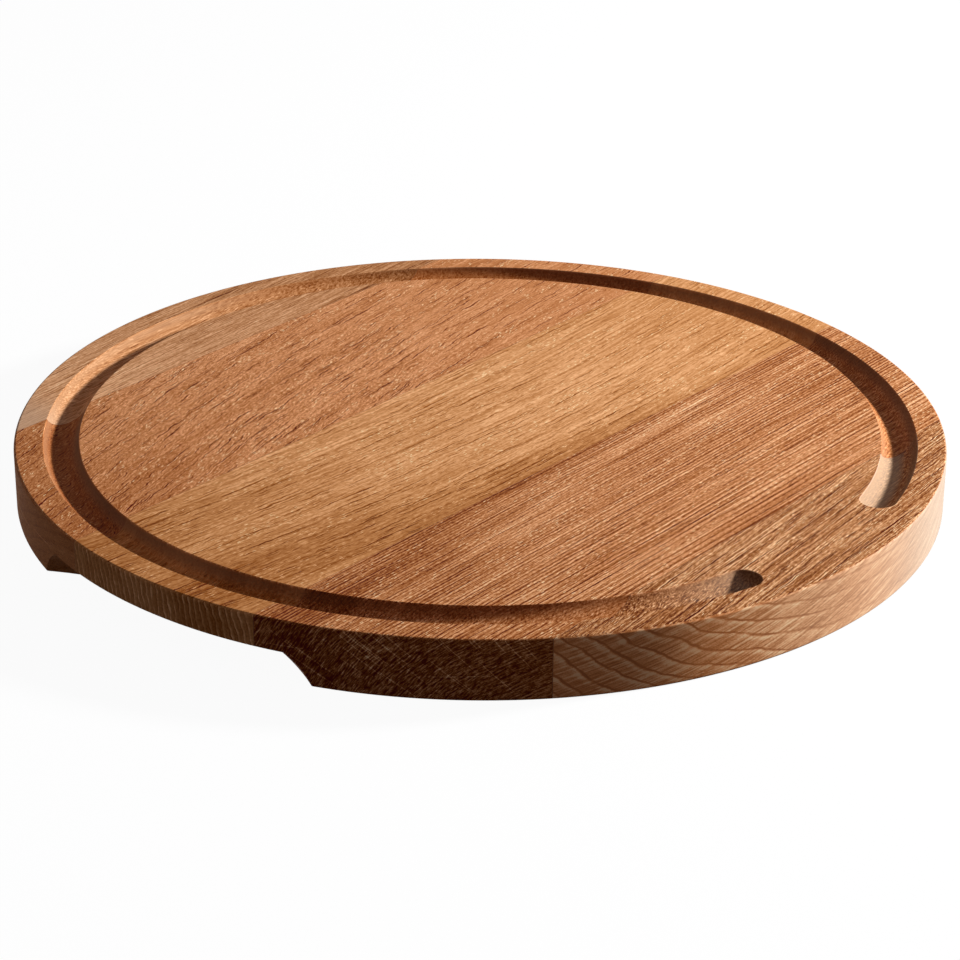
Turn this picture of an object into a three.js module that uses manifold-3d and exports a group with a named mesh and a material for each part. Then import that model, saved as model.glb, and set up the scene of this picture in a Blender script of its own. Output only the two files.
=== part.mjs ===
// A round pizza board of solid oak: staves glued edge to edge and turned to a disc, with a round-bottomed juice
// groove in the top that stops short at one side, and a finger grip under the edge at both ends of the grain.
// Frame: millimetres, +Z up, origin at the centre of the underside, X along the grain.
import * as THREE from "three";
import { mergeVertices } from "three/addons/utils/BufferGeometryUtils.js";
import Module from "manifold-3d";

// The disc.
const BOARD_DIAMETER = 350;
const BOARD_THICKNESS = 23;
const EDGE_ROUND = 1;

// The edge-glued panel. The middle stave's centre line misses the disc's centre a little, and an edge segment
// that would come out narrower than the least width is left as part of its neighbour.
const STAVE_WIDTH = 85.3;
const MIDDLE_STAVE_Y = -2.5;
const LEAST_STAVE_WIDTH = 12;
const GLUE_THICKNESS = 0.15;

// The juice groove, cut with a round-nosed bit. The land is the uncut stretch, at the front (-Y).
const RIM_WIDTH = 10.8;
const GROOVE_BIT_DIAMETER = 14;
const GROOVE_DEPTH = 5;
const GROOVE_LAND = 70;

// The finger grips: a shallow arc in plan, with a lip of wood left above, a flat ceiling and a hollow back wall.
const GRIP_WIDTH = 130;
const GRIP_PLAN_RADIUS = 130;
const GRIP_LIP = 11.8;
const GRIP_COVE_WIDTH = 7.5;
const GRIP_COVE_RADIUS = 22;

// How finely round shapes are faceted.
const DISC_STEPS = 144;
const EDGE_STEPS = 3;
const GRIP_STEPS = 180;
const COVE_STEPS = 5;
const GROOVE_STEP_LENGTH = 7;
const GROOVE_SECTION_STEPS = 24;
const GROOVE_END_STEPS = 6;

// How far a cutter stands clear of the faces that it breaks through.
const CUT_CLEARANCE = 5;

// Finishes, from the back stave to the front one.
const STAVE_COLOURS = [0xc9a57c, 0xb07a4c, 0xc79a66, 0xa06a3f, 0xb98a5c];
const GLUE_COLOUR = 0x8a5a34;
const OILED_ROUGHNESS = 0.6;
const GLUE_ROUGHNESS = 0.5;

const BOARD_RADIUS = BOARD_DIAMETER / 2;
const CUT_REACH = BOARD_RADIUS + CUT_CLEARANCE;

const wasm = await Module();
wasm.setup();

// A closed geometry as a solid that can be joined and cut.
function solidFrom(geometry) {
  const bare = geometry.clone();
  bare.deleteAttribute("normal");
  bare.deleteAttribute("uv");
  const merged = mergeVertices(bare, 1e-5);
  const triVerts = new Uint32Array(merged.index.array);
  const vertProperties = merged.attributes.position.array;
  return new wasm.Manifold(new wasm.Mesh({ numProp: 3, vertProperties, triVerts }));
}

// A solid as a named mesh with its own material.
function meshFrom(solid, name, color, roughness) {
  const { vertProperties, triVerts } = solid.getMesh();
  const geometry = new THREE.BufferGeometry();
  geometry.setAttribute("position", new THREE.BufferAttribute(vertProperties, 3));
  geometry.setIndex(new THREE.BufferAttribute(triVerts, 1));
  geometry.computeVertexNormals();
  const mesh = new THREE.Mesh(geometry, new THREE.MeshStandardMaterial({ color, roughness, metalness: 0 }));
  mesh.name = name;
  return mesh;
}

// Points on an arc of a profile, from one angle to another, both ends included.
function arcPoints(centreX, centreY, radius, fromAngle, toAngle, steps) {
  const points = [];
  for (let i = 0; i <= steps; i++) {
    const angle = fromAngle + ((toAngle - fromAngle) * i) / steps;
    points.push(new THREE.Vector2(centreX + radius * Math.cos(angle), centreY + radius * Math.sin(angle)));
  }
  return points;
}

// A profile of (radius, height) points turned about the Z axis.
function turned(profile, steps) {
  return new THREE.LatheGeometry(profile, steps).rotateX(Math.PI / 2);
}

// The plain disc with its two rounded edges.
function discBlank() {
  const flatRadius = BOARD_RADIUS - EDGE_ROUND;
  const profile = [
    new THREE.Vector2(0, 0),
    ...arcPoints(flatRadius, EDGE_ROUND, EDGE_ROUND, -Math.PI / 2, 0, EDGE_STEPS),
    ...arcPoints(flatRadius, BOARD_THICKNESS - EDGE_ROUND, EDGE_ROUND, 0, Math.PI / 2, EDGE_STEPS),
    new THREE.Vector2(0, BOARD_THICKNESS),
  ];
  return solidFrom(turned(profile, DISC_STEPS));
}

// The path of the round-nosed bit: a capsule bent round the board's axis, with its ends either side of the land.
// The capsule's upper half is lifted clear of the top face, so that it stands for the bit's straight shank.
function grooveCutter() {
  const bitRadius = GROOVE_BIT_DIAMETER / 2;
  const noseCut = Math.min(GROOVE_DEPTH, bitRadius);
  const halfWidth = Math.sqrt(bitRadius ** 2 - (bitRadius - noseCut) ** 2);
  const pathRadius = BOARD_RADIUS - RIM_WIDTH - halfWidth;
  const pathLength = 2 * Math.PI * pathRadius - GROOVE_LAND - 2 * halfWidth;
  const pathSteps = Math.round(pathLength / GROOVE_STEP_LENGTH);
  const noseHeight = BOARD_THICKNESS - GROOVE_DEPTH + bitRadius;
  const shankLift = GROOVE_DEPTH + CUT_CLEARANCE;
  const capsule = [bitRadius, pathLength, GROOVE_END_STEPS, GROOVE_SECTION_STEPS, pathSteps];
  const cutter = new THREE.CapsuleGeometry(...capsule);
  const position = cutter.attributes.position;
  for (let i = 0; i < position.count; i++) {
    const angle = Math.PI / 2 + position.getY(i) / pathRadius;
    const radius = pathRadius + position.getX(i);
    const rise = position.getZ(i);
    const onShank = rise > bitRadius / 100;
    const height = noseHeight + rise + (onShank ? shankLift : 0);
    position.setXYZ(i, radius * Math.cos(angle), radius * Math.sin(angle), height);
  }
  return solidFrom(cutter);
}

// One finger grip, on the side given by +1 or -1 along X: a turned plug whose axis stands outside the board.
function gripCutter(side) {
  const height = BOARD_THICKNESS - GRIP_LIP;
  const chord = Math.hypot(GRIP_COVE_WIDTH, height);
  const lean = Math.atan2(height, GRIP_COVE_WIDTH);
  const sweep = 2 * Math.asin(chord / 2 / GRIP_COVE_RADIUS);
  const footAngle = Math.PI / 2 - lean - sweep / 2;
  const coveX = GRIP_PLAN_RADIUS - GRIP_COVE_RADIUS * Math.cos(footAngle);
  const coveY = -GRIP_COVE_RADIUS * Math.sin(footAngle);
  const profile = [
    new THREE.Vector2(0, -CUT_CLEARANCE),
    new THREE.Vector2(GRIP_PLAN_RADIUS, -CUT_CLEARANCE),
    ...arcPoints(coveX, coveY, GRIP_COVE_RADIUS, footAngle, footAngle + sweep, COVE_STEPS),
    new THREE.Vector2(0, height),
  ];
  const rimDistance = Math.sqrt(BOARD_RADIUS ** 2 - (GRIP_WIDTH / 2) ** 2);
  const axisDistance = rimDistance + Math.sqrt(GRIP_PLAN_RADIUS ** 2 - (GRIP_WIDTH / 2) ** 2);
  return solidFrom(turned(profile, GRIP_STEPS).translate(side * axisDistance, 0, 0));
}

// A slab of the panel between two values of Y, long and tall enough to hold the whole board. Its corners are set
// to the given values themselves, so that neighbouring slabs share exactly the same plane.
function slab(lowY, highY) {
  const low = [-CUT_REACH, lowY, -CUT_CLEARANCE];
  const high = [CUT_REACH, highY, BOARD_THICKNESS + CUT_CLEARANCE];
  const box = new THREE.BoxGeometry(1, 1, 1);
  const position = box.attributes.position;
  for (let i = 0; i < position.count; i++) {
    for (let axis = 0; axis < 3; axis++) {
      const corner = position.getComponent(i, axis) > 0 ? high : low;
      position.setComponent(i, axis, corner[axis]);
    }
  }
  return solidFrom(box);
}

// The Y of every glue line, from the back to the front.
function glueLines() {
  const furthest = BOARD_RADIUS - LEAST_STAVE_WIDTH;
  const stavesBehindMiddle = Math.floor((furthest - MIDDLE_STAVE_Y) / STAVE_WIDTH + 0.5);
  const lines = [];
  let y = MIDDLE_STAVE_Y + (stavesBehindMiddle - 0.5) * STAVE_WIDTH;
  while (y >= -furthest) {
    lines.push(y);
    y -= STAVE_WIDTH;
  }
  return lines;
}

const cutBoard = discBlank().subtract(grooveCutter()).subtract(gripCutter(1)).subtract(gripCutter(-1));
const board = new THREE.Group();
const lines = glueLines();
const halfGlue = GLUE_THICKNESS / 2;

for (let i = 0; i <= lines.length; i++) {
  const backY = i === 0 ? CUT_REACH : lines[i - 1] - halfGlue;
  const frontY = i === lines.length ? -CUT_REACH : lines[i] + halfGlue;
  const stave = cutBoard.intersect(slab(frontY, backY));
  const colour = STAVE_COLOURS[i % STAVE_COLOURS.length];
  board.add(meshFrom(stave, `oak_stave_${i + 1}`, colour, OILED_ROUGHNESS));
}

for (let i = 0; i < lines.length; i++) {
  const film = cutBoard.intersect(slab(lines[i] - halfGlue, lines[i] + halfGlue));
  board.add(meshFrom(film, `glue_line_${i + 1}`, GLUE_COLOUR, GLUE_ROUGHNESS));
}

export default board;
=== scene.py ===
# %% [markdown]
# # A round oak pizza board
#
# The real board is a disc of solid oak. Staves were glued edge to edge, the panel was turned to a circle,
# a round-nosed bit ran a juice groove round the top, and a finger grip was cut under the edge at both ends of
# the grain. This lesson makes the board the same way: a blank is turned, two kinds of cutter are run through
# it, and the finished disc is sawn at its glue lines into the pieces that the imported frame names.

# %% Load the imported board
import math

import bmesh
import bpy
from mathutils import Matrix, Vector


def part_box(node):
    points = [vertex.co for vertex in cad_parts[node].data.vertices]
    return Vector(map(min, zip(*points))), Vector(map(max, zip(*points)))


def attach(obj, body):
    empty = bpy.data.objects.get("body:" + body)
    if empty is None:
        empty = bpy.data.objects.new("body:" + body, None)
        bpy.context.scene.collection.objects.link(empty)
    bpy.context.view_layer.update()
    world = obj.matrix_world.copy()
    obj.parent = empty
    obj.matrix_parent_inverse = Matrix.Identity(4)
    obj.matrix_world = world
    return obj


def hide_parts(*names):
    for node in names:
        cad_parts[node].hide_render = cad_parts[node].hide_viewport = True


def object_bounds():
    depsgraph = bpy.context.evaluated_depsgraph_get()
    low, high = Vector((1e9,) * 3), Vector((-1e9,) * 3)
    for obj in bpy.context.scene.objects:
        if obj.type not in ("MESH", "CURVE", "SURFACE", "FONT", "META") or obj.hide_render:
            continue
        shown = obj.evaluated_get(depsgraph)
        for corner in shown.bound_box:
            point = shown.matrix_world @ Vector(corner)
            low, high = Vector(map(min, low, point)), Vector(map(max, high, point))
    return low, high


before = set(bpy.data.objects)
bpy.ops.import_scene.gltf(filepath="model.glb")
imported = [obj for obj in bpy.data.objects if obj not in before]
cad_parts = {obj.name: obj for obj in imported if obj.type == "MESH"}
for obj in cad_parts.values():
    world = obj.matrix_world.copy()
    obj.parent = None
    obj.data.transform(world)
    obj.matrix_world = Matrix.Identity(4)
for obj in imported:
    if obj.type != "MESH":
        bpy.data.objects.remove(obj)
cad_low, cad_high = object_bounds()
MM = 0.001
BOARD_RADIUS = (cad_high.x - cad_low.x) / 2
BOARD_TOP = cad_high.z
print("board", round(2 * BOARD_RADIUS / MM, 2), "mm across,", round(BOARD_TOP / MM, 2), "mm thick")

# %% [markdown]
# ## The camera
#
# A lens could be guessed and the camera nudged until the picture looks right. Here the two rim outlines of
# the board gave the camera by least squares, so the eye, the turn, the dip and the focal length are measured
# values. The turn is the angle between the grain and the picture's own horizontal, seen from above.

# %% Set up the camera
PHOTO_PIXELS = 960
FOCAL_PIXELS = 2969.0
SENSOR_WIDTH = 36.0
EYE = Vector((-0.78479, -0.66419, 0.47798))
VIEW_TURN = math.radians(-49.756)
VIEW_DIP = math.radians(24.99)
VIEW_ROLL = math.radians(0.35)


def deselect_all():
    bpy.ops.object.select_all(action="DESELECT")


deselect_all()
bpy.ops.object.camera_add()
camera = bpy.context.object
camera.name = "photo_camera"
camera.data.sensor_width = SENSOR_WIDTH
camera.data.lens = SENSOR_WIDTH * FOCAL_PIXELS / PHOTO_PIXELS
turn = Matrix.Rotation(VIEW_TURN, 4, "Z")
dip = Matrix.Rotation(math.pi / 2 - VIEW_DIP, 4, "X")
roll = Matrix.Rotation(VIEW_ROLL, 4, "Z")
camera.matrix_world = Matrix.Translation(EYE) @ turn @ dip @ roll
bpy.context.scene.camera = camera
print("camera lens", round(camera.data.lens, 1), "mm")

# %% [markdown]
# ## Small helpers for modelling by hand
#
# Every step below is an edit-mode step: add a primitive, select some of it by place, run an operator. These
# helpers only open a piece for editing, pick what the next operator acts on, and run a cut.

# %% Helpers: open a piece, pick parts of it, cut it
MERGE_DISTANCE = 0.001 * MM


def pick_piece(piece):
    """Makes the piece the active one and the only one that is selected."""
    deselect_all()
    piece.select_set(True)
    bpy.context.view_layer.objects.active = piece


def open_piece(piece):
    pick_piece(piece)
    bpy.ops.object.mode_set(mode="EDIT")


def close_piece():
    bpy.ops.object.mode_set(mode="OBJECT")


def pick_edges(piece, wanted):
    """Selects the edges that pass the test, in edit mode, and says how many there are."""
    bpy.ops.mesh.select_mode(type="EDGE")
    bpy.ops.mesh.select_all(action="DESELECT")
    mesh = bmesh.from_edit_mesh(piece.data)
    picked = [edge for edge in mesh.edges if wanted(edge)]
    for edge in picked:
        edge.select_set(True)
    bmesh.update_edit_mesh(piece.data)
    return len(picked)


def tidy_shell():
    """Merges doubles and turns every face of the open piece outwards."""
    bpy.ops.mesh.select_all(action="SELECT")
    bpy.ops.mesh.remove_doubles(threshold=MERGE_DISTANCE)
    bpy.ops.mesh.normals_make_consistent(inside=False)


def cut_away(piece, cutter):
    """Takes the cutter out of the piece with an applied Boolean, and deletes the cutter."""
    pick_piece(piece)
    cut = piece.modifiers.new("cut", "BOOLEAN")
    cut.operation = "DIFFERENCE"
    cut.solver = "EXACT"
    cut.object = cutter
    bpy.ops.object.modifier_apply(modifier=cut.name)
    bpy.data.objects.remove(cutter)


# %% [markdown]
# ## The turned blank
#
# The blank is a cylinder whose two rim edges are eased with sandpaper. A lathe profile would do as well, but
# a cylinder with its two edge loops bevelled is quicker, and the bevel keeps the overall size.

# %% Turn the blank
RIM_STEPS = 360
EDGE_ROUND = 1.0 * MM
EDGE_ROUND_STEPS = 4
LEVEL_TOLERANCE = 0.01 * MM


def lies_flat(edge):
    return abs(edge.verts[0].co.z - edge.verts[1].co.z) < LEVEL_TOLERANCE


deselect_all()
bpy.ops.mesh.primitive_cylinder_add(
    vertices=RIM_STEPS, radius=BOARD_RADIUS, depth=BOARD_TOP, location=(0, 0, BOARD_TOP / 2)
)
board = bpy.context.object
board.name = "board_blank"
bpy.ops.object.transform_apply(location=True, rotation=False, scale=False)
open_piece(board)
pick_edges(board, lies_flat)
bpy.ops.mesh.bevel(offset=EDGE_ROUND, segments=EDGE_ROUND_STEPS, affect="EDGES")
close_piece()
print("blank", len(board.data.polygons), "faces")

# %% [markdown]
# ## The juice groove
#
# A round-nosed bit cuts the groove: it plunges beside the land, runs almost all the way round and lifts out.
# Its path could be a curve with a bevel profile, but a spin follows the real tool better. Half of the bit's
# outline is walked round the board, turned half a circle about the bit's own axis at the end, walked back
# along the other side and turned again. The outline flares at the top, which sands the groove's two edges
# round.

# %% Trace half of the bit's outline
RIM_WIDTH = 10.8 * MM
BIT_RADIUS = 7.0 * MM
GROOVE_DEPTH = 5.0 * MM
GROOVE_LAND = 70.0 * MM
GROOVE_EDGE_ROUND = 0.3 * MM
GROOVE_EDGE_LIFT = 0.03 * MM
CUT_CLEARANCE = 5.0 * MM
NOSE_STEPS = 14
GROOVE_EDGE_STEPS = 4

groove_half_width = math.sqrt(BIT_RADIUS**2 - (BIT_RADIUS - GROOVE_DEPTH) ** 2)
groove_path = BOARD_RADIUS - RIM_WIDTH - groove_half_width
land_half_angle = (GROOVE_LAND / 2 + groove_half_width) / groove_path
groove_start = -math.pi / 2 + land_half_angle
groove_sweep = 2 * math.pi - 2 * land_half_angle


def arc(centre, radius, start, end, steps):
    """Points of an arc in a profile plane, as (out, up) pairs."""
    angles = [start + (end - start) * i / steps for i in range(steps + 1)]
    return [(centre[0] + radius * math.cos(a), centre[1] + radius * math.sin(a)) for a in angles]


def bit_outline():
    """The nose from its lowest point to the flared edge, then straight up clear of the top."""
    nose_centre = (0, BOARD_TOP - GROOVE_DEPTH + BIT_RADIUS)
    flare_up = BOARD_TOP + GROOVE_EDGE_LIFT - GROOVE_EDGE_ROUND
    reach = BIT_RADIUS + GROOVE_EDGE_ROUND
    meet = math.asin((flare_up - nose_centre[1]) / reach)
    flare_centre = (reach * math.cos(meet), flare_up)
    nose = arc(nose_centre, BIT_RADIUS, -math.pi / 2, meet, NOSE_STEPS)
    flare = arc(flare_centre, GROOVE_EDGE_ROUND, math.pi + meet, math.pi / 2, GROOVE_EDGE_STEPS)
    return nose + flare[1:] + [(flare_centre[0], BOARD_TOP + CUT_CLEARANCE)]


def traced(name, points):
    """A wire through the points: a plane shrunk to one vertex, which is extruded from point to point."""
    deselect_all()
    bpy.ops.mesh.primitive_plane_add(size=MM, location=points[0])
    wire = bpy.context.object
    wire.name = name
    bpy.ops.object.transform_apply(location=True, rotation=False, scale=False)
    open_piece(wire)
    bpy.ops.mesh.select_mode(type="VERT")
    bpy.ops.mesh.select_all(action="SELECT")
    bpy.ops.mesh.merge(type="CENTER")
    for here, there in zip(points, points[1:]):
        bpy.ops.mesh.extrude_vertices_move(TRANSFORM_OT_translate={"value": there - here})
    close_piece()
    return wire


def on_board(radius, angle, height):
    return Vector((radius * math.cos(angle), radius * math.sin(angle), height))


outline = [on_board(groove_path + out, groove_start, up) for out, up in bit_outline()]
groove_cutter = traced("groove_cutter", outline)
print("bit outline", len(groove_cutter.data.vertices), "points")

# %% Walk the bit round the board
GROOVE_STEPS = 330
BIT_TURN_STEPS = 24


def spin_about(centre, angle, steps):
    """Spins what is selected about an upright axis. The operator counts angles clockwise, hence the sign."""
    bpy.ops.mesh.spin(steps=steps, angle=-angle, center=centre, axis=(0, 0, 1))


groove_end = groove_start + groove_sweep
open_piece(groove_cutter)
bpy.ops.mesh.select_all(action="SELECT")
spin_about((0, 0, 0), groove_sweep, GROOVE_STEPS)
spin_about(on_board(groove_path, groove_end, 0), math.pi, BIT_TURN_STEPS)
spin_about((0, 0, 0), -groove_sweep, GROOVE_STEPS)
spin_about(on_board(groove_path, groove_start, 0), math.pi, BIT_TURN_STEPS)
tidy_shell()
bpy.ops.mesh.select_mode(type="EDGE")
bpy.ops.mesh.select_all(action="DESELECT")
bpy.ops.mesh.select_non_manifold()
bpy.ops.mesh.edge_face_add()
tidy_shell()
close_piece()
print("groove cutter", len(groove_cutter.data.polygons), "faces")
cut_away(board, groove_cutter)

# %% [markdown]
# ## The finger grips
#
# Under the edge, at both ends of the grain, a wide cutter on an upright axis outside the board takes out a
# shallow crescent with a flat ceiling and a hollow back wall. The cutter is turned: a filled circle is
# extruded and scaled step by step along its profile, with a small flare that eases the edge on the underside.

# %% Turn and run the grip cutters
GRIP_WIDTH = 130.0 * MM
GRIP_PLAN_RADIUS = 130.0 * MM
GRIP_LIP = 11.8 * MM
GRIP_COVE_WIDTH = 7.5 * MM
GRIP_COVE_RADIUS = 22.0 * MM
GRIP_FOOT_FLARE = 0.5 * MM
GRIP_STEPS = 360
COVE_STEPS = 8

grip_height = BOARD_TOP - GRIP_LIP
grip_axis = math.sqrt(BOARD_RADIUS**2 - (GRIP_WIDTH / 2) ** 2)
grip_axis += math.sqrt(GRIP_PLAN_RADIUS**2 - (GRIP_WIDTH / 2) ** 2)


def grip_outline():
    """Radius and height of the cutter, from below the underside up to the grip's ceiling."""
    lean = math.atan2(grip_height, GRIP_COVE_WIDTH)
    half_sweep = math.asin(math.hypot(grip_height, GRIP_COVE_WIDTH) / 2 / GRIP_COVE_RADIUS)
    foot = math.pi / 2 - lean - half_sweep
    centre = (
        GRIP_PLAN_RADIUS - GRIP_COVE_RADIUS * math.cos(foot),
        -GRIP_COVE_RADIUS * math.sin(foot),
    )
    cove = arc(centre, GRIP_COVE_RADIUS, foot, foot + 2 * half_sweep, COVE_STEPS)
    flared = GRIP_PLAN_RADIUS + GRIP_FOOT_FLARE
    return [(flared, -CUT_CLEARANCE), (flared, 0), (cove[0][0], GRIP_FOOT_FLARE)] + cove[1:]


def grip_cutter(side):
    axis_x = side * grip_axis
    outline = grip_outline()
    deselect_all()
    bpy.ops.mesh.primitive_circle_add(
        vertices=GRIP_STEPS, radius=outline[0][0], fill_type="NGON", location=(axis_x, 0, outline[0][1])
    )
    cutter = bpy.context.object
    bpy.ops.object.transform_apply(location=True, rotation=False, scale=False)
    open_piece(cutter)
    bpy.ops.mesh.select_all(action="SELECT")
    for (radius, height), (next_radius, next_height) in zip(outline, outline[1:]):
        rise = {"value": (0, 0, next_height - height)}
        bpy.ops.mesh.extrude_region_move(TRANSFORM_OT_translate=rise)
        grow = next_radius / radius
        bpy.ops.transform.resize(value=(grow, grow, 1), center_override=(axis_x, 0, next_height))
    tidy_shell()
    close_piece()
    return cutter


for side in (-1, 1):
    cut_away(board, grip_cutter(side))
print("cut board", len(board.data.polygons), "faces")

# %% [markdown]
# The cutter leaves a sharp arris where each grip breaks out through the rim. A hand would feel it, so it is
# eased with a narrow bevel. The edges are found by their place on the rim and by the angle between their
# faces.

# %% Ease the grips' edges on the rim
ARRIS_ROUND = 0.4 * MM
ARRIS_STEPS = 3
ARRIS_ANGLE = math.radians(40)
RIM_TOLERANCE = 0.1 * MM


def is_rim_arris(edge):
    if not edge.is_manifold or edge.calc_face_angle() < ARRIS_ANGLE:
        return False
    return all(vert.co.xy.length > BOARD_RADIUS - RIM_TOLERANCE for vert in edge.verts)


open_piece(board)
arrises = pick_edges(board, is_rim_arris)
bpy.ops.mesh.bevel(offset=ARRIS_ROUND, segments=ARRIS_STEPS, affect="EDGES", clamp_overlap=True)
close_piece()
print("eased", arrises, "edges")

# %% [markdown]
# ## Staves and glue lines
#
# The panel was glued first and shaped afterwards, so every cut runs straight across the joints. Sawing one
# finished disc gives exactly that: each piece is a copy of the disc, bisected at the two planes where the
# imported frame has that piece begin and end. The bisected faces are filled, so that each piece is a closed
# solid.

# %% Saw the disc at its glue lines
SMOOTH_ANGLE = math.radians(30)
SAW_TOLERANCE = 0.01 * MM


def saw(y, outwards):
    """Saws the open piece along a plane across Y, and drops the part on the outer side."""
    bpy.ops.mesh.select_all(action="SELECT")
    bpy.ops.mesh.bisect(plane_co=(0, y, 0), plane_no=(0, outwards, 0), use_fill=True, clear_outer=True)


def sawn(name):
    """The slice of the board that the frame's node of that name takes up."""
    low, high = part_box(name)
    pick_piece(board)
    bpy.ops.object.duplicate()
    piece = bpy.context.object
    piece.name = name + "_finished"
    piece.data.name = piece.name
    open_piece(piece)
    if high.y < cad_high.y - SAW_TOLERANCE:
        saw(high.y, 1)
    if low.y > cad_low.y + SAW_TOLERANCE:
        saw(low.y, -1)
    tidy_shell()
    close_piece()
    return piece


def smooth(piece):
    """Smooth shading that keeps the big flat faces flat."""
    pick_piece(piece)
    bpy.ops.object.shade_smooth_by_angle(angle=SMOOTH_ANGLE)
    flatten = piece.modifiers.new("flat_faces", "WEIGHTED_NORMAL")
    flatten.keep_sharp = True
    bpy.ops.object.modifier_apply(modifier=flatten.name)


stave_names = sorted(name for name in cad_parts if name.startswith("oak_stave"))
glue_names = sorted(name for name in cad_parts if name.startswith("glue_line"))
pieces = {}
for name in stave_names + glue_names:
    pieces[name] = sawn(name)
    smooth(pieces[name])
    print(name, len(pieces[name].data.polygons), "faces")
bpy.data.objects.remove(board)

# %% [markdown]
# ## Writing shaders as sums
#
# A wood pattern is mostly arithmetic on coordinates. The class below wraps one socket of a node tree, so that
# `1 - mask * 0.5` adds the Math nodes by itself. Every other node comes from `add`, which sets the node up
# first and then fills or links its sockets.

# %% A socket that can be added, multiplied and compared
class Wire:
    def __init__(self, socket):
        self.socket = socket

    def add(self, kind, settings, inputs, output=0):
        """A new node of that kind, in the same tree, with its settings made and its sockets filled."""
        tree = self.socket.id_data
        node = tree.nodes.new(kind)
        for name, value in settings.items():
            if name == "stops":
                lay_stops(node.color_ramp, value)
            else:
                setattr(node, name, value)
        for name, value in inputs.items():
            if isinstance(value, Wire):
                tree.links.new(value.socket, node.inputs[name])
            else:
                node.inputs[name].default_value = value
        return Wire(node.outputs[output])

    def math(self, operation, first, second=0.0):
        return self.add("ShaderNodeMath", {"operation": operation}, {0: first, 1: second})

    def __add__(self, other):
        return self.math("ADD", self, other)

    def __sub__(self, other):
        return self.math("SUBTRACT", self, other)

    def __rsub__(self, other):
        return self.math("SUBTRACT", other, self)

    def __mul__(self, other):
        return self.math("MULTIPLY", self, other)

    def __truediv__(self, other):
        return self.math("DIVIDE", self, other)

    def __rtruediv__(self, other):
        return self.math("DIVIDE", other, self)

    __radd__ = __add__
    __rmul__ = __mul__

    def size(self):
        """The value without its sign."""
        return self.math("ABSOLUTE", self)

    def step(self, low, high):
        """A soft step from 0 to 1 as the value goes from low to high."""
        limits = {"Value": self, "From Min": low, "From Max": high}
        return self.add("ShaderNodeMapRange", {"interpolation_type": "SMOOTHSTEP"}, limits)

    def mixed(self, first, second):
        """A colour between two others, by this value."""
        settings = {"data_type": "RGBA", "clamp_factor": True}
        return self.add("ShaderNodeMix", settings, {0: self, 6: first, 7: second}, 2)

    def ramp(self, stops):
        """A colour from a row of (position, colour) stops."""
        return self.add("ShaderNodeValToRGB", {"stops": stops}, {"Fac": self}, "Color")


def lay_stops(ramp, stops):
    """Gives a new ramp, which has two stops, the whole row."""
    for position, _ in stops[1:-1]:
        ramp.elements.new(position)
    for element, (position, colour) in zip(ramp.elements, stops):
        element.position = position
        element.color = colour


# %% [markdown]
# ## Oak, all the way through
#
# Painting a grain picture on each face would break at every edge. Wood is a solid, so the material is a solid
# too: growth rings are distances from a pith line that lies outside the stave, pores are long thin cells
# along the grain, and rays are sheets that stand on the rings. A cut in any direction then shows the right
# figure, as dashes on the flat top, dots and ray lines on the end grain, and bowls of rings on the rim.
#
# Lengths in these cells are millimetres in the wood. A pair of numbers that goes into `step` is where a soft
# step starts and where it ends.

# %% Helpers: places and patterns
LENS_EDGE = (0.75, 1.1)


def vector(x, y, z):
    """Three values as one place."""
    maker = next(part for part in (x, y, z) if isinstance(part, Wire))
    return maker.add("ShaderNodeCombineXYZ", {}, {"X": x, "Y": y, "Z": z})


def parts(place):
    """The three values of a place or a direction."""
    return [place.add("ShaderNodeSeparateXYZ", {}, {"Vector": place}, axis) for axis in "XYZ"]


def noise(place, detail=2.0, roughness=0.55):
    """Cloudy noise, mostly within a third of 1 either way, with features one unit long."""
    inputs = {"Vector": place, "Scale": 1.0, "Detail": detail, "Roughness": roughness}
    return place.add("ShaderNodeTexNoise", {}, inputs, "Fac") * 2 - 1


def cells(place):
    """Distance to the nearest of the scattered points, one point to each unit cell."""
    return place.add("ShaderNodeTexVoronoi", {}, {"Vector": place, "Scale": 1.0}, "Distance")


def lenses(place, size):
    """1 inside slim lens shapes of that size, one to each unit cell, and 0 outside."""
    return 1 - (cells(place) / size).step(*LENS_EDGE)


# %% [markdown]
# Fibres are never quite straight. They drift across the stave, sway over a hand's breadth and kink from pore
# to pore, and everything in the wood follows them. So the point is first carried back to where it would lie
# in a perfectly straight tree, and every pattern is laid out there.

# %% A place in the wood
MM_PER_METRE = 1000
SWAY_LENGTH, SWAY_WIDTH = 90, 45
SWAY_UPWARDS = 0.5
KINK_LENGTH, KINK_WIDTH = 6, 4


class Grain:
    """Millimetres along the fibres, across them and up, and the distance and bearing from the pith."""

    def __init__(self, coordinates, look):
        self.x, self.y, self.z = [part * MM_PER_METRE for part in parts(coordinates)]
        self.along = self.x + look["seed"]
        slope, bend = look["drift"]
        sway = self.wander(SWAY_LENGTH, SWAY_WIDTH) * look["sway"]
        kink = self.wander(KINK_LENGTH, KINK_WIDTH) * look["kink"]
        self.across = self.y - self.x * slope - self.x * self.x * bend + sway + kink
        self.up = self.z + sway * SWAY_UPWARDS
        pith_across, pith_up = look["pith"]
        out = self.across - pith_across
        rise = self.up - pith_up
        squared = out * out + rise * rise
        self.radius = squared.math("SQRT", squared)
        self.bearing = squared.math("ARCTAN2", out, rise)
        self.round_pith = self.bearing * look["pith_far"]

    def wander(self, length, width):
        """How far the fibres stray at a place, in waves of that length and width."""
        return noise(vector(self.along / length, self.y / width, self.z / width))

    def stretched(self, length, width):
        """A place in which features of that length and width are one unit long and wide."""
        return vector(self.along / length, self.across / width, self.up / width)


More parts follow.
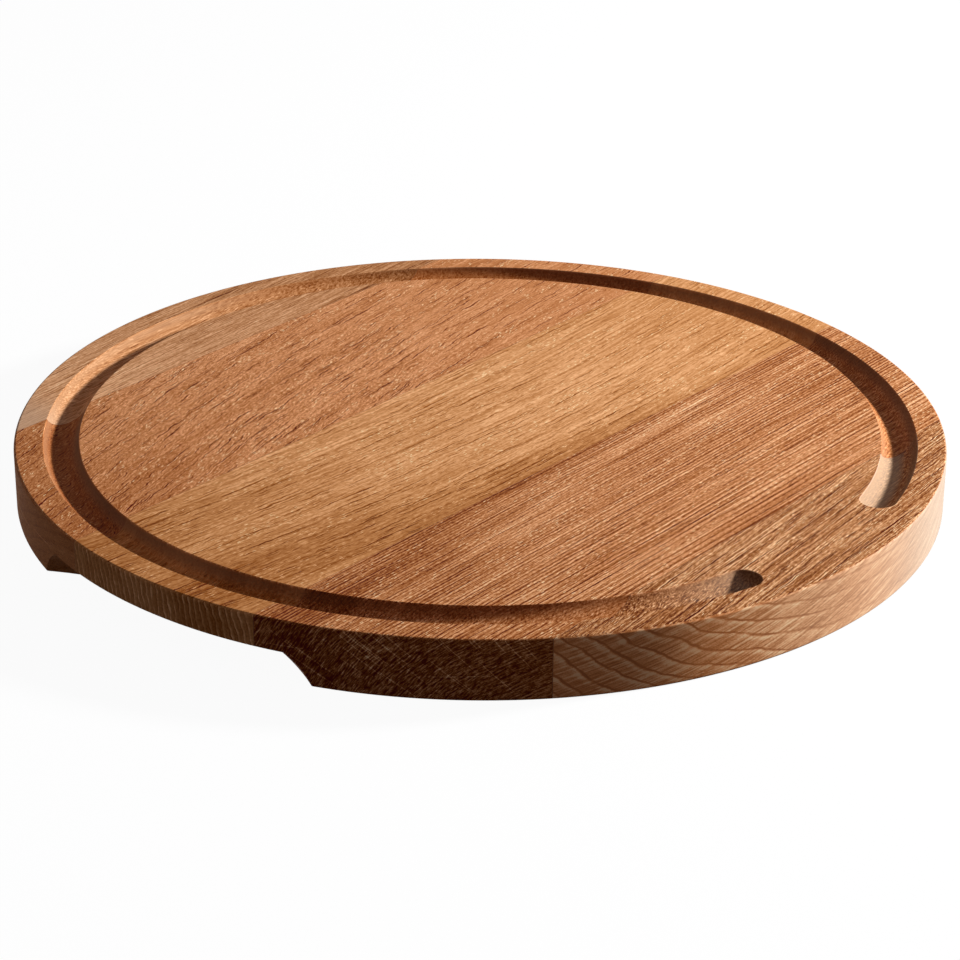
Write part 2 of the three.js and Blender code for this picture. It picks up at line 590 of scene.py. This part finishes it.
# %% Growth rings, pores, rays, and pale fibres with painted glints
RING_WANDER_SIZE = (110, 11)
RING_WANDER = 0.5
RING_START = 0.1
FLECK_PATCH_LENGTH, FLECK_PATCH_WIDTH, FLECK_PATCH_HEIGHT = 40, 5, 10
FLECK_PATCH_EDGE = (-0.2, 0.2)


def growth_rings(grain, look):
    """How porous the wood is, how far into its ring a place lies, and a tone of the ring's own."""
    count = grain.radius / look["ring"] + noise(grain.stretched(*RING_WANDER_SIZE)) * RING_WANDER
    in_ring = count.math("FRACT", count)
    porous = (1 - in_ring.step(RING_START, look["porous"])) * in_ring.step(0.0, RING_START)
    whole = count.math("FLOOR", count)
    tone = count.add("ShaderNodeTexWhiteNoise", {"noise_dimensions": "1D"}, {"W": whole}, "Value")
    return porous, in_ring, tone - 0.5


def pore_lines(grain, shape, spread):
    """Open pores of that length, spacing and size, as slim tapered lines."""
    length, gap, size = shape
    return lenses(grain.stretched(length, gap), size * spread)


def rays(grain, look):
    """Sheets on the rings: lines on the end grain and short pale marks on the flat."""
    length, height, gap, size = look["rays"]
    return lenses(vector(grain.along / length, grain.radius / height, grain.round_pith / gap), size)


def flecks_and_glints(grain, look):
    """Pale fibres, lightened further as painted glints, in rows that may slant across the grain."""
    length, gap, size = look["flecks_and_glints"]
    row = (grain.across - grain.along * look["fleck_slant"]) / FLECK_PATCH_WIDTH
    patches = noise(vector(grain.along / FLECK_PATCH_LENGTH, row, grain.up / FLECK_PATCH_HEIGHT))
    return lenses(grain.stretched(length, gap), size) * patches.step(*FLECK_PATCH_EDGE)


# %% [markdown]
# A round-nosed bit tears the fibres where it climbs against them, so two opposite quarters of the groove are
# rough, and the other two are clean. End grain drinks more oil than the faces along the fibres, and turns
# darker. The groove's walls that face left or away from the lamp get a dark painted shade, and its lit walls
# a pale painted highlight. All this hangs on where a place lies on the shaped board and on how its face is
# turned, so the next cell measures both.

# %% The groove, the rim and the end grain
GROOVE_TOP = (22.5, 22.95)
GROOVE_INNER_EDGE = (150.3, 151.3)
GROOVE_OUTER_EDGE = (163.7, 164.7)
RIM_INNER_EDGE = (163.5, 164.8)
CLIMBING = (0.0, 0.7)
FACES_END = (0.35, 0.9)
FACES_FROM_LAMP = (0.5, 1.0)
FACES_OFF_FRONT = (-0.1, 0.4)
FACES_UP = (0.5, 0.95)
FROM_LAMP_TURN = 0.6
STEEP_LOSS = 0.85
GROOVE_LOSS = 0.4


class Cut:
    """Where a place lies on the shaped board: in the groove, on the rim, and how the face is turned."""

    def __init__(self, grain, normal):
        squared = grain.x * grain.x + grain.y * grain.y
        distance = squared.math("SQRT", squared)
        below_top = 1 - grain.z.step(*GROOVE_TOP)
        self.groove = distance.step(*GROOVE_INNER_EDGE) * (1 - distance.step(*GROOVE_OUTER_EDGE)) * below_top
        self.rim = distance.step(*RIM_INNER_EDGE)
        self.around = distance * distance.math("ARCTAN2", grain.y, grain.x)
        climb = (grain.x * grain.y * 2 / squared).step(*CLIMBING)
        self.torn = self.groove * climb

        along, back, up = parts(normal)
        self.end = along.size().step(*FACES_END)
        # Walls facing left or away from the lamp; in the groove they get a dark painted shade.
        left = (0 - along).step(*FACES_END)
        from_lamp = (back - along * FROM_LAMP_TURN).step(*FACES_FROM_LAMP)
        self.painted_shade_wall = self.groove * left.math("MAXIMUM", left, from_lamp)
        # Groove walls that the lamp lights, which get a pale painted highlight.
        self.lit_groove_wall = self.groove * (1 - back.step(*FACES_OFF_FRONT)) * (1 - left)
        self.steep = 1 - up.size().step(*FACES_UP)
        self.rim_side = self.steep * (1 - self.groove)
        # Clean-cut groove walls: paler as clean wood, and partly as a painted highlight on the lit ones.
        self.clean_and_lit_wall = self.steep * self.groove * (1 - climb)
        self.flat = (1 - self.steep * STEEP_LOSS) * (1 - self.groove * GROOVE_LOSS)


# %% [markdown]
# All of that adds up to one number, from a pore's dark to a ray's cream, and a ramp turns it into colour. The
# ramp is worked out from the stave's middle tone: oiled oak gets redder and deeper as it darkens, and paler
# as it lightens.

# %% From tone to colour
SCREEN_DARKEST, SCREEN_LIGHTEST = 8, 250
SHADE_SHIFTS = (-100, -50, 0, 50, 100)
SHIFT_RANGE = 200
COOL_SHIFT = 1.03


def on_screen(*levels):
    """A colour given in screen levels from 0 to 255, as the renderer's linear light."""
    shares = [min(max(level, SCREEN_DARKEST), SCREEN_LIGHTEST) / 255 for level in levels]
    return tuple(((share + 0.055) / 1.055) ** 2.4 for share in shares) + (1.0,)


def oak_shades(red, green, blue):
    """Ramp stops either side of a middle colour. Green and blue move a little more than red."""
    stops = []
    for shift in SHADE_SHIFTS:
        colour = on_screen(red + shift, green + shift * COOL_SHIFT, blue + shift * COOL_SHIFT)
        stops.append((0.5 + shift / SHIFT_RANGE, colour))
    return stops


# %% [markdown]
# Three marks belong to the cut faces alone. On the end grain the pores show as short dashes along the rings.
# On the rim, sanding left fine slanting streaks on one stave, and long light scratches round the left part.
# The rim is laid flat for these two, and one slice of the solid noise is enough for it.

# %% Dashes on the end grain, streaks and scratches on the rim
DASH_ALONG, DASH_THICKNESS, DASH_LENGTH = 8, 0.45, 2.2
DASH_FADE = (-60, 60)
DASH_FADE_LOSS = 0.55
DASH_GROOVE_LOSS = 0.6
STREAK_SIZE = (14, 0.55)
STREAK_SLANT = 0.3
SCRATCH_SPACING = (140, 1.6)
SCRATCH_SLANT = 0.04
SCRATCH_SIZE = 0.09
SCRATCH_FADE = (-60, 0)
NOISE_SLICE = 0.5


def end_dashes(grain, cut):
    """Dashes along the rings on the end grain, weaker towards the right end and in the groove."""
    place = vector(grain.along / DASH_ALONG, grain.radius / DASH_THICKNESS, grain.round_pith / DASH_LENGTH)
    dashes = noise(place) * cut.end * (1 - grain.x.step(*DASH_FADE) * DASH_FADE_LOSS)
    return dashes * (1 - cut.groove * DASH_GROOVE_LOSS)


def unrolled(grain, cut, size, slant):
    """A place on the rim laid flat, in which slanting features of that length and height are one unit."""
    length, height = size
    return vector(cut.around / length, (grain.z - cut.around * slant) / height, NOISE_SLICE)


def rim_streaks(grain, cut, look):
    return noise(unrolled(grain, cut, STREAK_SIZE, STREAK_SLANT)) * cut.rim_side * look["rim_streak"]


def rim_scratches(grain, cut):
    scratches = lenses(unrolled(grain, cut, SCRATCH_SPACING, SCRATCH_SLANT), SCRATCH_SIZE) * cut.rim_side
    return scratches * (1 - grain.x.step(*SCRATCH_FADE))


# %% Light and dark rings
RING_BREAK_SIZE = (60, 4)
RING_BREAK = 1.5
RIM_RING_FADE = (-100, -10)
RIM_RING_LOSS = 0.85
RING_GROOVE_LOSS = 0.6
RING_STREAK = 2
LIGHT_RING_RISE = (0.12, 0.22)
LIGHT_RING_FALL = (0.25, 0.65)


def ring_lines(grain, cut, look, porous, in_ring, streak):
    """Dark, broken lines where the rings start and, on the rim, a light band after each of them."""
    broken = noise(grain.stretched(*RING_BREAK_SIZE)) * RING_BREAK + 1
    on_rim = cut.rim_side * (1 - grain.x.step(*RIM_RING_FADE) * RIM_RING_LOSS)
    shade = (1 + on_rim * look["rim_rings"]) * (1 - cut.groove * RING_GROOVE_LOSS) * look["ring_shade"]
    light = in_ring.step(*LIGHT_RING_RISE) * (1 - in_ring.step(*LIGHT_RING_FALL)) * broken * on_rim
    return light * look["ring_light"] - porous * broken * (1 + streak * RING_STREAK) * shade


# %% Lighter and darker stretches
LIGHTER_RIGHT_RUN = 150
RIM_TOP_SHADE = 0.04
RIM_TOP_RUN = (0, 140)
RIM_TOP_LIFT = 0.05
SHADED_END_RUN = (50, 160)
BROAD_STREAK_EDGE = (0.5, 1.0)


def stretches(grain, cut, look):
    """Whole stretches: end grain, rim top, streaks, and painted shade on rim sides, groove and both ends."""
    tone = grain.x * (look["lighter_right"] / LIGHTER_RIGHT_RUN) - cut.end * look["end_shade"]
    # Painted shade: rim sides and groove darker; a negative side value paints a shaded rim lighter.
    tone = tone - cut.rim_side * look["painted_side_shade"] - cut.groove * look["painted_groove_shade"]
    tone = tone - cut.rim * (RIM_TOP_SHADE - grain.x.step(*RIM_TOP_RUN) * RIM_TOP_LIFT)
    # Painted shade at both ends of the board, darker towards the left and the right.
    tone = tone - grain.x.size().step(*SHADED_END_RUN) * look["painted_shade_ends"]
    for centre, width, slope, shade in look["streaks"]:
        away = (grain.y - grain.x * slope - centre) / width
        tone = tone - (1 - away.size().step(*BROAD_STREAK_EDGE)) * shade
    return tone


# %% The tone of the wood and its relief
PORE_FADE = (-20, 130)
BAND_SIZE = (150, 9)
TORN_SIZE = (2, 0.9)
FINE_DETAIL = 3.0
FIBRE_STEEP_LOSS = 0.35
FIBRE_STREAK_LOSS = 0.5
STREAK_FADE = (-100, -20)
STREAK_FADE_LOSS = 0.4
STREAK_TONE = 1.1
SCRATCH_LIGHT = 0.35
FIBRE_HEIGHT, SPECKLE_HEIGHT, TORN_HEIGHT, DASH_DEPTH = 0.15, 0.2, 0.3, 0.5


def wood_tone(grain, cut, look):
    """The tone at a place, and how high the surface stands there."""
    porous, in_ring, ring_tone = growth_rings(grain, look)
    shown = (1 - grain.x.step(*PORE_FADE) * look["fade"]) * cut.flat
    spread = look["even"] + porous * (1 - look["even"])
    long_pores = pore_lines(grain, look["pores"], spread) * shown
    short_pores = pore_lines(grain, look["dashes"], spread) * shown
    speckle = noise(grain.stretched(*look["speckle_size"])) * shown
    streak = rim_streaks(grain, cut, look)
    plain_rim = 1 - cut.rim_side * look["rim_streak"] * FIBRE_STREAK_LOSS
    fibre = noise(grain.stretched(*look["fibre_size"])) * (1 - cut.steep * FIBRE_STEEP_LOSS) * plain_rim
    torn = noise(grain.stretched(*TORN_SIZE), FINE_DETAIL) * cut.torn
    band = noise(grain.stretched(*BAND_SIZE), FINE_DETAIL)

    tone = look["middle"] + band * look["band"] + ring_tone * look["ring_tone"]
    tone = tone + ring_lines(grain, cut, look, porous, in_ring, streak)
    tone = tone + fibre * look["fibre"] + speckle * look["speckle"] + torn * look["torn"]
    tone = tone - long_pores * look["pore_shade"] - short_pores * look["dash_shade"]
    tone = tone + rays(grain, look) * (1 + cut.rim_side * look["rim_rays"]) * look["ray_light"]
    # Pale fibres on the flat faces, partly painted glints.
    tone = tone + flecks_and_glints(grain, look) * cut.flat * look["fleck_and_glint_light"]
    tone = tone + end_dashes(grain, cut) * look["end_dash"]
    tone = tone + streak * (1 - grain.x.step(*STREAK_FADE) * STREAK_FADE_LOSS) * STREAK_TONE
    tone = tone + rim_scratches(grain, cut) * SCRATCH_LIGHT + stretches(grain, cut, look)

    height = fibre * FIBRE_HEIGHT + speckle * SPECKLE_HEIGHT + torn * TORN_HEIGHT
    return tone, height - long_pores - short_pores * DASH_DEPTH


# %% [markdown]
# The ramp gives a stave one family of browns, but a plank isn't one colour from end to end: the back stave
# starts with sapwood. The other colours mixed in here are painted light and shade. The rim of the front
# stave gets a ruddy painted shade at its shaded left end and a pale, slightly grey painted highlight at its
# lit right end, and the other rims a paler painted highlight at their lit right ends. The groove's walls are
# paler where the cut is clean, partly the clean cut's own tone and partly painted highlight, paler still on
# the front stave's lit walls, and get a dark painted shade where they face left or away from the lamp.
# These colours are mixed in one after another, each by its own mask and share.

# %% Sapwood, and painted light and shade
PAINTED_SHADE_RUDDY_WOOD = (0.72, 0.25, 0.08, 1)
PAINTED_HIGHLIGHT_PALE_WOOD = (0.53, 0.315, 0.2, 1)
PAINTED_HIGHLIGHT_PALER_WOOD = (0.39, 0.357, 0.3, 1)
PAINTED_HIGHLIGHT_GREY_WOOD = (0.2, 0.2, 0.2, 1)
PAINTED_HIGHLIGHT_GROOVE_WOOD = (0.46, 0.345, 0.235, 1)
PAINTED_HIGHLIGHT_FAR_END_WOOD = (0.42, 0.28, 0.17, 1)
CLEAN_CUT_AND_HIGHLIGHT_WOOD = (0.38, 0.25, 0.15, 1)
PAINTED_SHADE_WOOD = (0.08, 0.036, 0.016, 1)
SAPWOOD = (0.5, 0.33, 0.215, 1)
SHADED_RIM_RUN = (-80, -20)
LIT_RIM_RUN = (-75, 0)
BRIGHTER_RIM_RUN = (-15, 60)
BRIGHTEST_RIM_RUN = (50, 110)
LIT_GROOVE_RUN = (-85, -5)
LIT_FAR_END_RUN = (60, 150)
SAPWOOD_RUN = (-112, -84)
SAPWOOD_RIM_LOSS = 0.6


def tinted(colour, grain, cut, look):
    """The colour, with sapwood and with painted light and shade mixed in where they lie."""
    painted_rim = cut.rim_side * look["light_and_shade_paint"]
    painted_highlight_groove = cut.lit_groove_wall * look["light_and_shade_paint"]
    other_rim_highlight = cut.rim_side * (1 - look["light_and_shade_paint"])
    off_rim = 1 - cut.rim_side * SAPWOOD_RIM_LOSS
    tints = [
        # Painted shade, ruddy, on the fifth rim's left; painted highlight, pale to grey, on its lit right.
        (painted_rim * (1 - grain.x.step(*SHADED_RIM_RUN)), 0.5, PAINTED_SHADE_RUDDY_WOOD),
        (painted_rim * grain.x.step(*LIT_RIM_RUN), 0.45, PAINTED_HIGHLIGHT_PALE_WOOD),
        (painted_rim * grain.x.step(*BRIGHTER_RIM_RUN), 0.6, PAINTED_HIGHLIGHT_PALER_WOOD),
        (painted_rim * grain.x.step(*BRIGHTEST_RIM_RUN), 0.35, PAINTED_HIGHLIGHT_GREY_WOOD),
        # Painted highlight, pale, on the lit walls of the fifth stave's groove.
        (painted_highlight_groove * grain.x.step(*LIT_GROOVE_RUN), 0.6, PAINTED_HIGHLIGHT_GROOVE_WOOD),
        # Painted highlight, cream, on the lit right ends of the other staves' rims.
        (other_rim_highlight * grain.x.step(*LIT_FAR_END_RUN), 0.4, PAINTED_HIGHLIGHT_FAR_END_WOOD),
        # Clean-cut walls, partly the clean cut's own tone and partly painted highlight.
        (cut.clean_and_lit_wall, 0.3, CLEAN_CUT_AND_HIGHLIGHT_WOOD),
        # Painted shade: a dark colour on the groove walls that face left or away from the lamp.
        (cut.painted_shade_wall, 0.55, PAINTED_SHADE_WOOD),
        (off_rim * (1 - grain.x.step(*SAPWOOD_RUN)), look["sapwood"], SAPWOOD),
    ]
    for mask, share, wood in tints:
        colour = (mask * share).mixed(colour, wood)
    return colour


# %% The oak material
PAINTED_LIGHT_LIFT = 0.06
OILED_ROUGHNESS = 0.65
RELIEF_ROUGHNESS = 0.15
OILED_SPECULAR = 0.04
RELIEF_STRENGTH = 0.8
RELIEF_DEPTH = 0.15 * MM


def oak(name, look):
    material = bpy.data.materials.new(name)
    material.use_nodes = True
    tree = material.node_tree
    shader = tree.nodes["Principled BSDF"]
    grain = Grain(Wire(tree.nodes.new("ShaderNodeTexCoord").outputs["Object"]), look)
    cut = Cut(grain, Wire(tree.nodes.new("ShaderNodeNewGeometry").outputs["Normal"]))
    tone, height = wood_tone(grain, cut, look)

    # Painted highlight: the fifth stave's rim is lifted lighter towards its lit right end.
    painted_lift = cut.rim_side * grain.x.step(*LIT_RIM_RUN) * (look["light_and_shade_paint"] * PAINTED_LIGHT_LIFT)
    colour = tinted((tone + painted_lift).ramp(oak_shades(*look["colour"])), grain, cut, look)
    tree.links.new(colour.socket, shader.inputs["Base Color"])
    rough = OILED_ROUGHNESS - height * RELIEF_ROUGHNESS
    tree.links.new(rough.socket, shader.inputs["Roughness"])
    shader.inputs["Specular IOR Level"].default_value = OILED_SPECULAR
    relief = {"Height": height, "Strength": RELIEF_STRENGTH, "Distance": RELIEF_DEPTH}
    bumped = height.add("ShaderNodeBump", {}, relief, "Normal")
    tree.links.new(bumped.socket, shader.inputs["Normal"])
    return material


# %% [markdown]
# ## Five staves from five planks
#
# Each stave came from another plank, so each has its own pith, ring width, tone and pores. The first is pale
# with straight fibres, the second russet with long open pores, the third honey and even, the fourth close and
# straight, and the fifth has wide rings, which its rim cuts to bowls. A look below is the plain oak with what
# that plank has of its own.

# %% Oak for each stave
PLAIN_OAK = {
    # How the fibres run: slope and bend of their drift, and how far they sway and kink.
    "seed": 0, "drift": (0.03, 0.0), "sway": 1.5, "kink": 0.6,
    # Where the pith lies and how far off, the rings' width, and how far into a ring its pores reach.
    "pith": (140, -120), "pith_far": 130, "ring": 3.2, "porous": 0.6, "even": 0.55,
    # Length, spacing and size of pores and of pale fibres with painted glints. Rays have a height as well.
    "pores": (30, 0.8, 0.26), "dashes": (9, 0.7, 0.3), "rays": (12, 80, 1.4, 0.16),
    "flecks_and_glints": (4.0, 0.65, 0.23), "fleck_slant": 0.0, "fibre_size": (26, 0.8), "speckle_size": (2.2, 0.7),
    # How strongly each of them shows.
    "middle": 0.57, "band": 0.12, "ring_tone": 0.06, "ring_shade": 0.06, "rim_rings": 1.5, "ring_light": 0.0,
    "fibre": 0.2, "speckle": 0.36, "torn": 0.28, "end_dash": 0.15, "pore_shade": 0.45, "dash_shade": 0.3,
    "fleck_and_glint_light": 0.2, "ray_light": 0.1, "rim_rays": -0.6, "rim_streak": 0.0, "fade": 0.0,
    # How much whole stretches differ, with painted shade on the rim's sides, in the groove and at both ends.
    "end_shade": 0.08, "painted_side_shade": 0.1, "painted_groove_shade": 0.1, "lighter_right": 0.0, "painted_shade_ends": 0.05,
    # Painted light and shade on a rim and groove; then sapwood and broad streaks, the wood's own.
    "light_and_shade_paint": 0.0, "sapwood": 0.0, "streaks": [],
}
STAVE_LOOKS = {
    "oak_stave_1": dict(
        PLAIN_OAK, seed=3700, colour=(184, 128, 83), drift=(0.085, 0.0),
        pores=(36, 1.0, 0.27), dashes=(14, 0.8, 0.26), fibre_size=(22, 0.5),
        pore_shade=0.4, fibre=0.5, speckle=0.25, fleck_and_glint_light=0.1,
        lighter_right=-0.15, painted_shade_ends=0.0, painted_groove_shade=0.13, sapwood=0.6,
    ),
    "oak_stave_2": dict(
        PLAIN_OAK, seed=11300, colour=(186, 120, 71), drift=(0.207, -0.000395), sway=3.0, kink=1.3,
        pith=(70, -90), ring=4.2, even=0.95, pores=(62, 1.15, 0.2), dashes=(24, 0.7, 0.22),
        fibre_size=(26, 0.5), speckle_size=(1.5, 0.45), pore_shade=1.15, dash_shade=0.7,
        fibre=0.3, speckle=0.46, fleck_and_glint_light=0.5, fade=0.55, band=0.08, ring_shade=0.03,
        end_shade=-0.02, painted_side_shade=0.02, lighter_right=0.03, painted_groove_shade=0.2,
    ),
    "oak_stave_3": dict(
        PLAIN_OAK, seed=23900, colour=(194, 133, 80), drift=(0.005, 0.000337), sway=2.5, kink=0.9,
        pith=(170, -25), ring=2.4, even=0.85, pores=(60, 1.6, 0.28), dashes=(16, 0.9, 0.26),
        pore_shade=0.22, dash_shade=0.25, ring_shade=0.07, rim_rings=0.5, ring_light=0.3,
        fibre=0.24, speckle=0.26, fleck_and_glint_light=0.35, fade=0.3, end_shade=-0.02, painted_side_shade=0.04,
        lighter_right=0.03, painted_shade_ends=0.07, streaks=[(-45, 14, -0.12, 0.09)],
    ),
    "oak_stave_4": dict(
        PLAIN_OAK, seed=37100, colour=(178, 114, 66), drift=(0.025, 0.0), sway=0.8, kink=0.3,
        pith=(-163, -53), pith_far=92, ring=1.15, porous=0.55, pores=(60, 0.7, 0.27),
        rays=(24, 60, 0.9, 0.25), fibre_size=(60, 0.45), speckle_size=(1.8, 0.5), fleck_slant=0.19,
        pore_shade=0.55, ring_tone=0.08, ring_shade=0.28, rim_rings=-0.5, fibre=0.55, speckle=0.48,
        end_dash=1.1, ray_light=0.08, rim_rays=2.5, fleck_and_glint_light=0.5, end_shade=0.1, middle=0.585,
        streaks=[(-42.0, 10, 0.0955, 0.11), (-58.4, 3, 0.131, -0.06)],
    ),
    "oak_stave_5": dict(
        PLAIN_OAK, seed=51700, colour=(174, 116, 69), drift=(0.1, 0.0),
        pith=(-226.5, 105), ring=4.94, porous=0.3, even=0.8, pores=(60, 0.9, 0.28), dashes=(20, 0.7, 0.27),
        fibre_size=(50, 0.32), speckle_size=(1.8, 0.5), pore_shade=0.8, dash_shade=0.6,
        ring_shade=0.05, rim_rings=9.0, ring_light=0.4, rim_streak=1.0, torn=0.5, fibre=1.0,
        speckle=0.6, fleck_and_glint_light=0.55, middle=0.51, end_shade=0.0, painted_side_shade=-0.13, light_and_shade_paint=1.0,
    ),
}


def paint(piece, material):
    piece.data.materials.clear()
    piece.data.materials.append(material)


for name in stave_names:
    material = oak(name.replace("oak_stave", "oak"), STAVE_LOOKS[name])
    paint(pieces[name], material)
    print(material.name, len(material.node_tree.nodes), "nodes")

# %% [markdown]
# ## Glue
#
# Cured wood glue shows as a thin dark thread between the staves. A flat brown would do for so thin a line,
# but a little mottle, darker and lighter along the joint, keeps it from looking drawn with a pen.

# %% The glue material
GLUE_DARK = (0.13, 0.045, 0.018, 1)
GLUE_LIGHT = (0.26, 0.105, 0.045, 1)
GLUE_MOTTLE = 120.0
GLUE_ROUGHNESS = 0.45
GLUE_ROUGHNESS_RANGE = 0.2
GLUE_SPECULAR = 0.08

glue = bpy.data.materials.new("cured_glue")
glue.use_nodes = True
glue_tree = glue.node_tree
glue_shader = glue_tree.nodes["Principled BSDF"]
glue_place = Wire(glue_tree.nodes.new("ShaderNodeTexCoord").outputs["Object"])
mottle = {"Vector": glue_place, "Scale": GLUE_MOTTLE, "Detail": 2.0}
glue_noise = glue_place.add("ShaderNodeTexNoise", {}, mottle, "Fac")
glue_colour = glue_noise.mixed(GLUE_DARK, GLUE_LIGHT)
glue_tree.links.new(glue_colour.socket, glue_shader.inputs["Base Color"])
glue_rough = GLUE_ROUGHNESS + glue_noise * GLUE_ROUGHNESS_RANGE
glue_tree.links.new(glue_rough.socket, glue_shader.inputs["Roughness"])
glue_shader.inputs["Specular IOR Level"].default_value = GLUE_SPECULAR
for name in glue_names:
    paint(pieces[name], glue)
print(glue.name, "on", len(glue_names), "glue lines")

# %% [markdown]
# ## Floor and light
#
# The board lies on a plain white floor. A lamp stands low on the right, so that it rakes over the grain and
# fills one side of the groove with shade, and an even sky, tinted a little violet, gives the rest. For the
# camera the floor is mostly white by itself, with some of the light's shade left on it, and to the board it
# is a dim grey table.

# %% Lay the floor
FLOOR_SIZE = 40.0
FLOOR_GLOW = 0.95
FLOOR_BOUNCE = (0.1, 0.095, 0.09, 1)
WHITE = (1, 1, 1, 1)
SEEN_RAYS = ("Is Camera Ray", "Is Glossy Ray", "Is Transmission Ray")


def seen_directly(tree):
    """1 for what the camera sees, also in a mirror or through glass, and 0 for light on the board."""
    path = tree.nodes.new("ShaderNodeLightPath")
    camera_ray, glossy_ray, transmission_ray = [Wire(path.outputs[name]) for name in SEEN_RAYS]
    either = camera_ray.math("MAXIMUM", camera_ray, glossy_ray)
    return either.math("MAXIMUM", either, transmission_ray)


deselect_all()
bpy.ops.mesh.primitive_plane_add(size=FLOOR_SIZE)
floor = bpy.context.object
floor.name = "floor"
floor_paint = bpy.data.materials.new("white_floor")
floor_paint.use_nodes = True
paint_tree = floor_paint.node_tree
paint_tree.nodes.clear()
seen = seen_directly(paint_tree)
white = seen.add("ShaderNodeBsdfDiffuse", {}, {"Color": WHITE})
glow = seen.add("ShaderNodeEmission", {}, {"Color": WHITE, "Strength": 1.0})
table = seen.add("ShaderNodeBsdfDiffuse", {}, {"Color": FLOOR_BOUNCE})
shown = seen.add("ShaderNodeMixShader", {}, {0: FLOOR_GLOW, 1: white, 2: glow})
surface = seen.add("ShaderNodeMixShader", {}, {0: seen, 1: table, 2: shown})
floor_output = paint_tree.nodes.new("ShaderNodeOutputMaterial")
paint_tree.links.new(surface.socket, floor_output.inputs["Surface"])
paint(floor, floor_paint)
print("floor", FLOOR_SIZE, "m")

# %% Hang the lamp and the sky
LAMP_TURN = math.radians(-37)
LAMP_RISE = math.radians(21.5)
LAMP_DISTANCE = 1.6
LAMP_SIZE = 0.2
LAMP_POWER = 56.5
SKY_STRENGTH = 0.16
SKY_COLOUR = (1.06, 1.0, 1.14, 1)

toward_lamp = on_board(math.cos(LAMP_RISE), LAMP_TURN, math.sin(LAMP_RISE))
deselect_all()
bpy.ops.object.light_add(type="AREA", location=LAMP_DISTANCE * toward_lamp)
lamp = bpy.context.object
lamp.name = "low_lamp"
lamp.data.shape = "DISK"
lamp.data.size = LAMP_SIZE
lamp.data.energy = LAMP_POWER
lamp.rotation_euler = toward_lamp.to_track_quat("Z", "Y").to_euler()

world = bpy.data.worlds.new("sky")
bpy.context.scene.world = world
world.use_nodes = True
sky_tree = world.node_tree
sky_tree.nodes.clear()
sky_seen = seen_directly(sky_tree)
sky_strength = SKY_STRENGTH + sky_seen * (1 - SKY_STRENGTH)
sky_colour = sky_seen.mixed(SKY_COLOUR, WHITE)
sky = sky_seen.add("ShaderNodeBackground", {}, {"Color": sky_colour, "Strength": sky_strength})
sky_output = sky_tree.nodes.new("ShaderNodeOutputWorld")
sky_tree.links.new(sky.socket, sky_output.inputs["Surface"])
bpy.context.scene.view_settings.view_transform = "Standard"
print("lamp", LAMP_POWER, "W, sky", SKY_STRENGTH)

# %% [markdown]
# ## Hand the pieces to the frame
#
# Nothing on the board moves, so every piece rides on the one body, and the imported part that it was sawn
# to fit is hidden.

# %% Ride, and hide the imported parts
for name, piece in pieces.items():
    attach(piece, "root")
    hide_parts(name)
